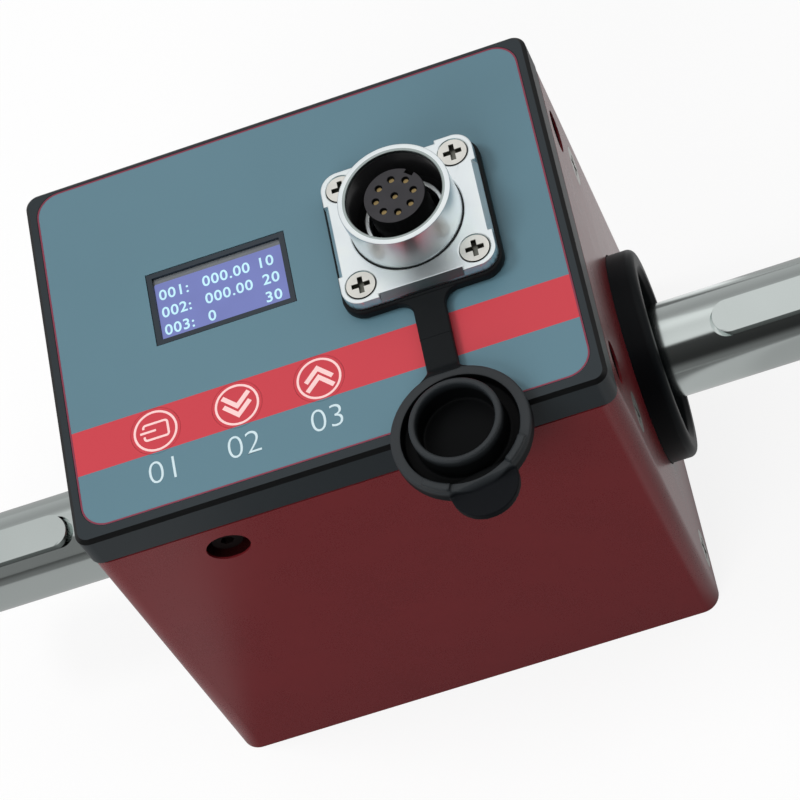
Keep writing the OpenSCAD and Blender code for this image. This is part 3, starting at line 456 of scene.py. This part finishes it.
def piece(name, mesh, body, material, smooth=False):
    """An object made from a mesh, which rides on a body."""
    mesh.materials.clear()
    mesh.materials.append(material)
    if smooth:
        for face in mesh.polygons:
            face.use_smooth = True
    obj = bpy.data.objects.new(name, mesh)
    bpy.context.scene.collection.objects.link(obj)
    if body:
        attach(obj, body)
    return obj


def finished_mesh(name, bm):
    """A mesh from a bmesh, with its normals facing out."""
    bmesh.ops.recalc_face_normals(bm, faces=bm.faces)
    mesh = bpy.data.meshes.new(name)
    bm.to_mesh(mesh)
    bm.free()
    return mesh


def offset_line(points, width, closed):
    """The left and right side of a line of that width, with mitred corners."""
    left, right = [], []
    count = len(points)
    for i, here in enumerate(points):
        before = points[i - 1] if i or closed else None
        after = points[(i + 1) % count] if i + 1 < count or closed else None
        legs = ((before, here), (here, after))
        ways = [(b - a).normalized() for a, b in legs if a is not None and b is not None]
        mean = sum(ways, Vector((0, 0))).normalized()
        side = Vector((-mean.y, mean.x))
        reach = width / 2 / max(MITRE_LIMIT, abs(side.dot(Vector((-ways[0].y, ways[0].x)))))
        left.append(here + side * reach)
        right.append(here - side * reach)
    return left, right


def add_ribbon(bm, points, width, low, high, closed=False):
    """A flat line with thickness, in metres, added to a bmesh."""
    sides = offset_line([Vector(p) for p in points], width, closed)
    rows = [[bm.verts.new((p.x, p.y, z)) for p in side] for side in sides for z in (low, high)]
    left_low, left_high, right_low, right_high = rows
    count = len(points)
    for i in range(count if closed else count - 1):
        j = (i + 1) % count
        bm.faces.new((left_high[i], left_high[j], right_high[j], right_high[i]))
        bm.faces.new((left_low[i], right_low[i], right_low[j], left_low[j]))
        bm.faces.new((left_low[i], left_low[j], left_high[j], left_high[i]))
        bm.faces.new((right_low[i], right_high[i], right_high[j], right_low[j]))
    if not closed:
        for i in (0, count - 1):
            bm.faces.new((left_low[i], left_high[i], right_high[i], right_low[i]))


def arc(centre, radius, start, end, steps):
    """Points on an arc, with angles in degrees."""
    angles = [math.radians(start + (end - start) * i / steps) for i in range(steps + 1)]
    return [(centre[0] + radius * math.cos(a), centre[1] + radius * math.sin(a)) for a in angles]


def rounded_outline(low, high, radius, steps=8):
    """Points round a rectangle with round corners."""
    points = []
    middle = ((low[0] + high[0]) / 2, (low[1] + high[1]) / 2)
    corners = ((high[0], high[1], 0), (low[0], high[1], 90), (low[0], low[1], 180), (high[0], low[1], 270))
    for x, y, start in corners:
        centre = (x - math.copysign(radius, x - middle[0]), y - math.copysign(radius, y - middle[1]))
        points += arc(centre, radius, start, start + 90, steps)
    return points


def slab(name, outline, low, high):
    """A flat closed mesh with that outline, between two heights in metres."""
    bm = bmesh.new()
    bottom = [bm.verts.new((x, y, low)) for x, y in outline]
    top = [bm.verts.new((x, y, high)) for x, y in outline]
    bm.faces.new(bottom[::-1])
    bm.faces.new(top)
    for i in range(len(outline)):
        j = (i + 1) % len(outline)
        bm.faces.new((bottom[i], bottom[j], top[j], top[i]))
    return finished_mesh(name, bm)


def ribbons(name, lines, low, body, material):
    """Printed lines as (points, width, closed), which lie on height low."""
    bm = bmesh.new()
    for points, width, closed in lines:
        add_ribbon(bm, points, width, low, low + PRINT_T * MM, closed)
    return piece(name, finished_mesh(name, bm), body, material)


def text_mesh(name, text, height, thickness, bold, spacing):
    """A mesh of plain digits, its left end at the origin and its base on Y = 0."""
    curve = bpy.data.curves.new(name, "FONT")
    curve.body = text
    curve.size = height / DIGIT_SHARE
    curve.offset = bold
    curve.space_character = spacing
    curve.extrude = thickness / 2
    curve.resolution_u = CURVE_STEPS
    holder = bpy.data.objects.new(name, curve)
    bpy.context.scene.collection.objects.link(holder)
    bpy.context.view_layer.update()
    mesh = bpy.data.meshes.new_from_object(holder.evaluated_get(bpy.context.evaluated_depsgraph_get()))
    bpy.data.objects.remove(holder)
    return mesh


def printed(name, text, centre, height, body, material, align="CENTER", bold=0.0, spacing=1.0):
    """Digits printed flat on a surface, centred on or starting at a point."""
    mesh = text_mesh(name, text, height, PRINT_T * MM, bold, spacing)
    xs = [v.co.x for v in mesh.vertices]
    shift = -(min(xs) + max(xs)) / 2 if align == "CENTER" else -min(xs)
    place = (centre[0] + shift, centre[1] - height / 2, centre[2] + PRINT_T * MM / 2)
    mesh.transform(Matrix.Translation(place))
    return piece(name, mesh, body, material)


# Print on the panel

film_low, film_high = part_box("panel_film")
film_top = film_high.z
half_line = BORDER_W * MM / 2
edge = Vector((half_line, half_line))
border = rounded_outline(film_low.xy + edge, film_high.xy - edge, FILM_CORNER * MM - half_line)
border_red = surface("border_red", srgb(130, 56, 74), 0.4, grain_mm=0.2, bump_mm=0.002, specular=0.3)
ribbons("film_border", [(border, BORDER_W * MM, True)], film_top, "housing", border_red)

icon_ink = surface("icon_ink", srgb(250, 208, 206), 0.5, tint=0.02, grain_mm=0.2, bump_mm=0.002)
number_ink = surface("number_ink", srgb(206, 226, 232), 0.5, tint=0.02, grain_mm=0.2, bump_mm=0.002)

ENTER_LOW = (-2.1, -1.45)
ENTER_HIGH = (2.3, 1.6)
ENTER_R = 0.5
ENTER_LINE = 0.42
ENTER_STEPS = 5
ENTER_GAP = 0.75
BAR_Y = 0.15
BAR_LEFT = -2.8
BAR_RIGHT = 0.1
CHEVRON_HALF = 2.4
CHEVRON_RISE = 2.3
CHEVRON_LINE = 0.85
CHEVRON_STEP = 1.8


def enter_icon():
    """An open rounded box with a bar that goes in from the left."""
    left, low = ENTER_LOW
    right, high = ENTER_HIGH
    box = [(left, BAR_Y + ENTER_GAP)]
    box += arc((left + ENTER_R, high - ENTER_R), ENTER_R, 180, 90, ENTER_STEPS)
    box += arc((right - ENTER_R, high - ENTER_R), ENTER_R, 90, 0, ENTER_STEPS)
    box += arc((right - ENTER_R, low + ENTER_R), ENTER_R, 0, -90, ENTER_STEPS)
    box += arc((left + ENTER_R, low + ENTER_R), ENTER_R, 270, 180, ENTER_STEPS)
    box.append((left, BAR_Y - ENTER_GAP))
    bar = [(BAR_LEFT, BAR_Y), (BAR_RIGHT, BAR_Y)]
    return [(box, ENTER_LINE), (bar, ENTER_LINE)]


def chevron_icon(way):
    """Two chevrons, which point to the back or to the front."""
    lines = []
    for shift in (-0.5, 0.5):
        tip = way * (CHEVRON_RISE / 2 + shift * CHEVRON_STEP)
        foot = tip - way * CHEVRON_RISE
        lines.append(([(-CHEVRON_HALF, foot), (0, tip), (CHEVRON_HALF, foot)], CHEVRON_LINE))
    return lines


icons = {"key_1": enter_icon(), "key_2": chevron_icon(-1), "key_3": chevron_icon(1)}
for i, (key, lines) in enumerate(icons.items(), 1):
    low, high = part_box(key)
    middle = (low + high) / 2
    ring = arc((middle.x, middle.y), (RING_D - RING_LINE) / 2 * MM, 0, 360, RING_STEPS)[:-1]
    marks = [(ring, RING_LINE * MM, True)]
    for points, width in lines:
        marks.append(([(middle.x + x * MM, middle.y + y * MM) for x, y in points], width * MM, False))
    ribbons(key + "_icon", marks, film_top, key, icon_ink)
    printed(key + "_number", f"{i:02d}", (middle.x, middle.y - NUMBER_DROP * MM, film_top), NUMBER_H * MM,
            "housing", number_ink, bold=NUMBER_THIN * MM)

# Display

LIGHT_BASE = (0.02, 0.02, 0.03, 1.0)
LIGHT_ROUGHNESS = 0.3
LIGHT_CLOUD = 6.0
COLUMNS = (-11.2, -3.1, 7.6)
ROW_TEXTS = (("001:", "000.00", "10"), ("002:", "000.00", "20"), ("003:", "0", "30"))


def glow(name, colour, strength, low_share):
    """A lit face whose brightness wanders a little."""
    material, tree, shader, place = new_material(name)
    lit = clouded(tree, noise(tree, place, LIGHT_CLOUD, 1.0), scaled(colour, low_share), colour)
    tree.links.new(lit, shader.inputs["Emission Color"])
    shader.inputs["Emission Strength"].default_value = strength
    shader.inputs["Base Color"].default_value = LIGHT_BASE
    shader.inputs["Roughness"].default_value = LIGHT_ROUGHNESS
    return material


window_low, window_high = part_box("display_frame")
window = (window_low + window_high) / 2
glass_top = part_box("display_glass")[1].z
lit_low = Vector((window.x + LIT_LEFT * MM, window.y + LIT_FRONT * MM))
lit_high = Vector((window.x + LIT_RIGHT * MM, window.y + LIT_BACK * MM))
outline = rounded_outline(lit_low, lit_high, LIT_R * MM, 4)
light_mesh = slab("display_light", outline, glass_top, glass_top + PRINT_T * MM)
piece("display_light", light_mesh, "housing",
      glow("display_light", srgb(121, 132, 203), 0.8, 0.9))
digit_glow = glow("digit_glow", srgb(196, 243, 255), 1.0, 0.92)
for row, texts in enumerate(ROW_TEXTS):
    row_y = window.y + (ROW_TOP - row * ROW_PITCH) * MM
    for column, (left, text) in enumerate(zip(COLUMNS, texts)):
        at = (window.x + left * MM, row_y, glass_top + PRINT_T * MM)
        printed(f"display_row_{row}_{column}", text, at, DIGIT_H * MM, "housing",
                digit_glow, "LEFT", DIGIT_BOLD * MM, DIGIT_SPACING)

# Black liner in the socket's barrel, and a black ring in the groove round the barrel's foot as its painted shade

shell_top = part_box("socket_shell")[1].z
gasket_low, gasket_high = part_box("socket_gasket")
socket = (gasket_low + gasket_high) / 2
BORE_R = 8.6
LINER_T = 0.12
LINER_BELOW_RIM = 0.7
LINER_FLOOR = 1.0
LINER_INNER = 5.42
BARREL_R = 10.0
GROOVE = 0.25
RING_GAP = 0.02


def lathe(name, profile, centre, steps=96):
    """A closed turned mesh from (radius, height) points in metres."""
    bm = bmesh.new()
    rings = []
    for s in range(steps):
        a = 2 * math.pi * s / steps
        x, y = math.cos(a), math.sin(a)
        rings.append([bm.verts.new((centre.x + r * x, centre.y + r * y, z)) for r, z in profile])
    count = len(profile)
    for s in range(steps):
        here, after = rings[s], rings[(s + 1) % steps]
        for k in range(count):
            n = (k + 1) % count
            bm.faces.new((here[k], after[k], after[n], here[n]))
    return finished_mesh(name, bm)


floor_z = gasket_high.z + LINER_FLOOR * MM
top_z = shell_top - LINER_BELOW_RIM * MM
outer, inner, thin = BORE_R * MM, LINER_INNER * MM, LINER_T * MM
liner = [
    (outer, floor_z), (outer, top_z), (outer - thin, top_z),
    (outer - thin, floor_z + thin), (inner, floor_z + thin), (inner, floor_z),
]
bore_black = surface("bore_black", srgb(14, 14, 15), 0.25, tint=0.1, drift_mm=4, grain_mm=0.3, bump_mm=0.003)
piece("socket_liner", lathe("socket_liner", liner, socket), "housing", bore_black, True)
foot, clear = FLANGE_TOP * MM, RING_GAP * MM
near, far = BARREL_R * MM + clear, (BARREL_R + GROOVE) * MM - clear
foot_shade_ring = [(near, foot - GROOVE * MM), (near, foot - clear), (far, foot - clear), (far, foot - GROOVE * MM)]
ring_mesh = lathe("barrel_foot_shade_ring", foot_shade_ring, socket)
piece("barrel_foot_shade_ring", ring_mesh, "housing", finishes["rubber"])

# Rubber strap in two halves, split midway between its bends at the gasket and at the cap

strap_low, strap_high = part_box("cap_strap")
BENDS = ("strap_bend", "cap_bend")
joints = {joint["name"]: Vector(joint["pos_m"]) for joint in frame["joints"] if joint["name"] in BENDS}
root_y, bend_y = joints["strap_bend"].y, joints["cap_bend"].y
gasket_front = gasket_low.y
half_w = (strap_high.x - strap_low.x) / 2
mid_y = (root_y + bend_y) / 2
CAP_R = 12.125
CAP_T = 3.0
CAP_AHEAD = 12.325
CAP_SHIFT = 0.8
cap_mid = Vector((socket.x + CAP_SHIFT * MM, bend_y - CAP_AHEAD * MM))


def root_half(y, side):
    """Half of the strap's width near the gasket."""
    fillet = ROOT_FILLET * MM
    t = min(max(gasket_front - y, 0.0), fillet)
    return half_w + fillet - math.sqrt(fillet ** 2 - (fillet - t) ** 2)


def cap_half(y, side):
    """The strap's width on one side of its middle near the cap, which sits a little to the right."""
    fillet = CAP_FILLET * MM
    off = side * CAP_SHIFT * MM
    reach = y - cap_mid.y
    centre_x = half_w - off + fillet
    centre_y = math.sqrt((CAP_R * MM + fillet) ** 2 - centre_x ** 2)
    touch = centre_y * CAP_R * MM / (CAP_R * MM + fillet)
    if reach >= centre_y:
        return half_w
    t = max(reach, touch)
    return centre_x + off - math.sqrt(max(fillet ** 2 - (centre_y - t) ** 2, 0.0))


def cap_rise(y):
    """How far the strap's top has climbed to the cap's top."""
    start = bend_y + CLIMB_START * MM
    share = min(max((start - y) / (CLIMB_LENGTH * MM), 0.0), 1.0)
    climb = (CAP_T - CLIMB_SHORT) * MM - (strap_high.z - strap_low.z)
    return share * share * (3 - 2 * share) * climb


def strap_section(y, left, right, low, high):
    """A ring of points round the strap."""
    r = STRAP_ROUND * MM
    ring = rounded_outline(Vector((-left, low)), Vector((right, high)), r, 4)
    return [(socket.x + x, y, z) for x, z in ring]


def strap_half(name, first, last, half_at, rise_at, inset=0.0):
    """One half of the strap, lofted along Y and made smaller by an inset."""
    bm = bmesh.new()
    rings = []
    for i in range(STRAP_STATIONS + 1):
        y = first + (last - first) * i / STRAP_STATIONS
        ring = strap_section(y, half_at(y, -1) - inset, half_at(y, 1) - inset, strap_low.z + inset,
                             strap_high.z + rise_at(y) - inset)
        rings.append([bm.verts.new(p) for p in ring])
    count = len(rings[0])
    for here, after in zip(rings, rings[1:]):
        for k in range(count):
            bm.faces.new((here[k], here[(k + 1) % count], after[(k + 1) % count], after[k]))
    bm.faces.new(rings[0])
    bm.faces.new(rings[-1])
    made = piece(name, finished_mesh(name, bm), None, finishes["rubber"], True)
    for face in made.data.polygons:
        face.use_smooth = len(face.vertices) == 4
    return made


strap_root = strap_half("strap_root", gasket_front + STRAP_INTO_GASKET * MM, mid_y, root_half, lambda y: 0.0)
strap_tip = strap_half("strap_tip", mid_y + STRAP_OVERLAP * MM, bend_y - STRAP_INTO_CAP * MM,
                       cap_half, cap_rise, STRAP_INSET * MM)
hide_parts("cap_strap")
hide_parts("cap_strap")
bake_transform(strap_root)
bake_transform(strap_tip)

# Dust cap, remeshed so that its edges are as soft as moulded rubber


def moulded(name, source, voxel, rounds):
    """A copy of a CAD node's mesh with softened edges."""
    holder = bpy.data.objects.new(name + "_draft", source.data.copy())
    bpy.context.scene.collection.objects.link(holder)
    holder.modifiers.new("weld", "WELD").merge_threshold = WELD * MM
    remesh = holder.modifiers.new("remesh", "REMESH")
    remesh.mode = "VOXEL"
    remesh.voxel_size = voxel * MM
    smooth = holder.modifiers.new("smooth", "SMOOTH")
    smooth.factor = SMOOTH_FACTOR
    smooth.iterations = rounds
    bpy.context.view_layer.update()
    mesh = bpy.data.meshes.new_from_object(holder.evaluated_get(bpy.context.evaluated_depsgraph_get()))
    mesh.name = name
    bpy.data.objects.remove(holder)
    return mesh


# A lighter copy of the strap's rubber for the cap, as a painted sheen, with painted shade in its hollows and on
# its pull
cap_sheen_rubber = surface("cap_sheen_rubber", srgb(37, 41, 44), 0.5, tint=0.08, drift_mm=7, grain_mm=0.25, bump_mm=0.008,
                     painter=paint_shaded_cap, gloss=cap_gloss)
cap_mesh = moulded("cap_rubber", frame["nodes"]["dust_cap"], CAP_VOXEL, CAP_SMOOTHING)
cap = piece("cap_rubber", cap_mesh, "cap", cap_sheen_rubber, True)
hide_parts("dust_cap")

# Stage: floor, light and camera

WHITE = grey(1.0)
FLOOR_HALF = 4.0
FLOOR_BOUNCE = grey(0.28)
FLOOR_SHOWN = grey(0.95)
FLOOR_ROUGHNESS = 0.9
FLOOR_SPECULAR = 0.1
FLOOR_CLOUD = 300.0
FLOOR_CLOUD_SHARE = 0.99

# Painted shade and light on the floor, which only mirrors see: its level by the distance from the middle
# along X, in front and behind, and the share of the second by Y, in metres
FLOOR_BEFORE = ((0.045, 0.17), (0.05, 0.55), (0.062, 0.5), (0.067, 0.42))
FLOOR_BESIDE = ((0.045, 0.4), (0.05, 0.8), (0.061, 1.0), (0.067, 0.42))
FLOOR_DEPTH = ((0.012, 0.0), (0.045, 1.0), (0.1, 1.0), (0.14, 0.0))
FLOOR_SPAN = 0.15
FLOOR_SEEN = 0.86
bpy.ops.mesh.primitive_plane_add(size=2 * FLOOR_HALF)
floor = bpy.context.object
floor.name = "floor"
floor_material, tree, shader, place = new_material("floor")
shader.inputs["Roughness"].default_value = FLOOR_ROUGHNESS
shader.inputs["Specular IOR Level"].default_value = FLOOR_SPECULAR
rays = node(tree, "ShaderNodeLightPath").outputs
cloud = noise(tree, place, FLOOR_CLOUD)
pale = clouded(tree, cloud, scaled(FLOOR_SHOWN, FLOOR_CLOUD_SHARE), FLOOR_SHOWN)
tree.links.new(mix_colour(tree, rays["Is Camera Ray"], FLOOR_BOUNCE, pale), shader.inputs["Base Color"])
mirrored = maths(tree, "MAXIMUM", rays["Is Glossy Ray"], rays["Is Transmission Ray"])
seen = maths(tree, "MULTIPLY_ADD", rays["Is Camera Ray"], FLOOR_SEEN, mirrored)
spot = split(tree, place)
aside = maths(tree, "MULTIPLY", maths(tree, "ABSOLUTE", spot["X"]), 1 / FLOOR_SPAN)
beside = levels(tree, aside, FLOOR_BESIDE, FLOOR_SPAN)
before = levels(tree, aside, FLOOR_BEFORE, FLOOR_SPAN)
depth = maths(tree, "MULTIPLY_ADD", spot["Y"], 1 / (2 * FLOOR_SPAN), 0.5)
behind = levels(tree, depth, FLOOR_DEPTH, 2 * FLOOR_SPAN, 0.5)
painted_floor_levels = mix_colour(tree, behind, before, beside)
level = mix_colour(tree, rays["Is Camera Ray"], painted_floor_levels, WHITE)
white = node(tree, "ShaderNodeEmission", {"Color": level})
blend = node(tree, "ShaderNodeMixShader", {0: seen, 1: shader.outputs[0], 2: white.outputs[0]})
tree.links.new(blend.outputs[0], tree.nodes["Material Output"].inputs["Surface"])
floor.data.materials.append(floor_material)

# Studio round the object: its level by the angle from the back horizon over the top to the front
DOME = (
    (-180, 0.25), (-90, 0.4), (0, 0.5), (36, 0.38), (48, 0.85), (60, 0.96), (80, 0.78),
    (108, 0.85), (116, 0.05), (155, 0.03), (174, 0.18),
)
world = bpy.data.worlds.new("studio")
bpy.context.scene.world = world
world.use_nodes = True
tree = world.node_tree
way = split(tree, node(tree, "ShaderNodeTexCoord").outputs["Generated"])
angle = maths(tree, "ARCTAN2", way["Z"], way["Y"])
turn = maths(tree, "MULTIPLY_ADD", angle, 1 / (2 * math.pi), 0.5)
dome = levels(tree, turn, DOME, 360, 0.5, "EASE")
seen = node(tree, "ShaderNodeLightPath").outputs["Is Camera Ray"]
background = tree.nodes["Background"]
tree.links.new(mix_colour(tree, seen, dome, WHITE), background.inputs["Color"])

TARGET = (0.0, 0.0, 0.07)


def lamp(name, at, size, power):
    """A square area light that faces the object and that no mirror shows."""
    light = bpy.data.lights.new(name, "AREA")
    light.size = size
    light.energy = power
    obj = bpy.data.objects.new(name, light)
    obj.location = at
    obj.rotation_euler = (Vector(TARGET) - Vector(at)).to_track_quat("-Z", "Y").to_euler()
    obj.visible_glossy = False
    bpy.context.scene.collection.objects.link(obj)


# Dim cards to the left, which only mirrors see: place, size, tilt in degrees and light
CARDS = {
    "card_front": ((-0.23, -0.22, 0.235), (0.3, 0.24), 47, 0.2),
    "card_top": ((-0.24, 0.06, 0.28), (0.33, 0.36), 0, 0.62),
}
CARD_CLOUD = 60.0
CARD_CLOUD_SHARE = 1.1
for name, (at, size, tilt, light) in CARDS.items():
    bpy.ops.mesh.primitive_plane_add(size=1.0, location=at)
    card = bpy.context.object
    card.name = name
    card.scale = (size[0], size[1], 1.0)
    card.rotation_euler = (math.radians(tilt), 0.0, 0.0)
    card.visible_camera = False
    card.visible_diffuse = False
    card.visible_shadow = False
    card.visible_transmission = False
    card_material, tree, _, place = new_material(name)
    cloud = noise(tree, place, CARD_CLOUD)
    dim = clouded(tree, cloud, grey(light), scaled(grey(light), CARD_CLOUD_SHARE))
    white = node(tree, "ShaderNodeEmission", {"Color": dim})
    tree.links.new(white.outputs[0], tree.nodes["Material Output"].inputs["Surface"])
    card.data.materials.append(card_material)

lamp("key", (-0.6, 0.12, 1.1), 0.28, 4.0)
lamp("fill", (-0.3, -0.62, 0.55), 0.5, 3.6)

forward = CAMERA_RIGHT.cross(CAMERA_DOWN)
turned = Matrix((CAMERA_RIGHT, -CAMERA_DOWN, -forward)).transposed()
camera_data = bpy.data.cameras.new("camera")
camera_data.sensor_width = CAMERA_SENSOR
camera_data.lens = CAMERA_LENS
camera = bpy.data.objects.new("camera", camera_data)
camera.matrix_world = Matrix.Translation(CAMERA_AT) @ turned.to_4x4()
bpy.context.scene.collection.objects.link(camera)
bpy.context.scene.camera = camera
bpy.context.scene.view_settings.view_transform = "Standard"
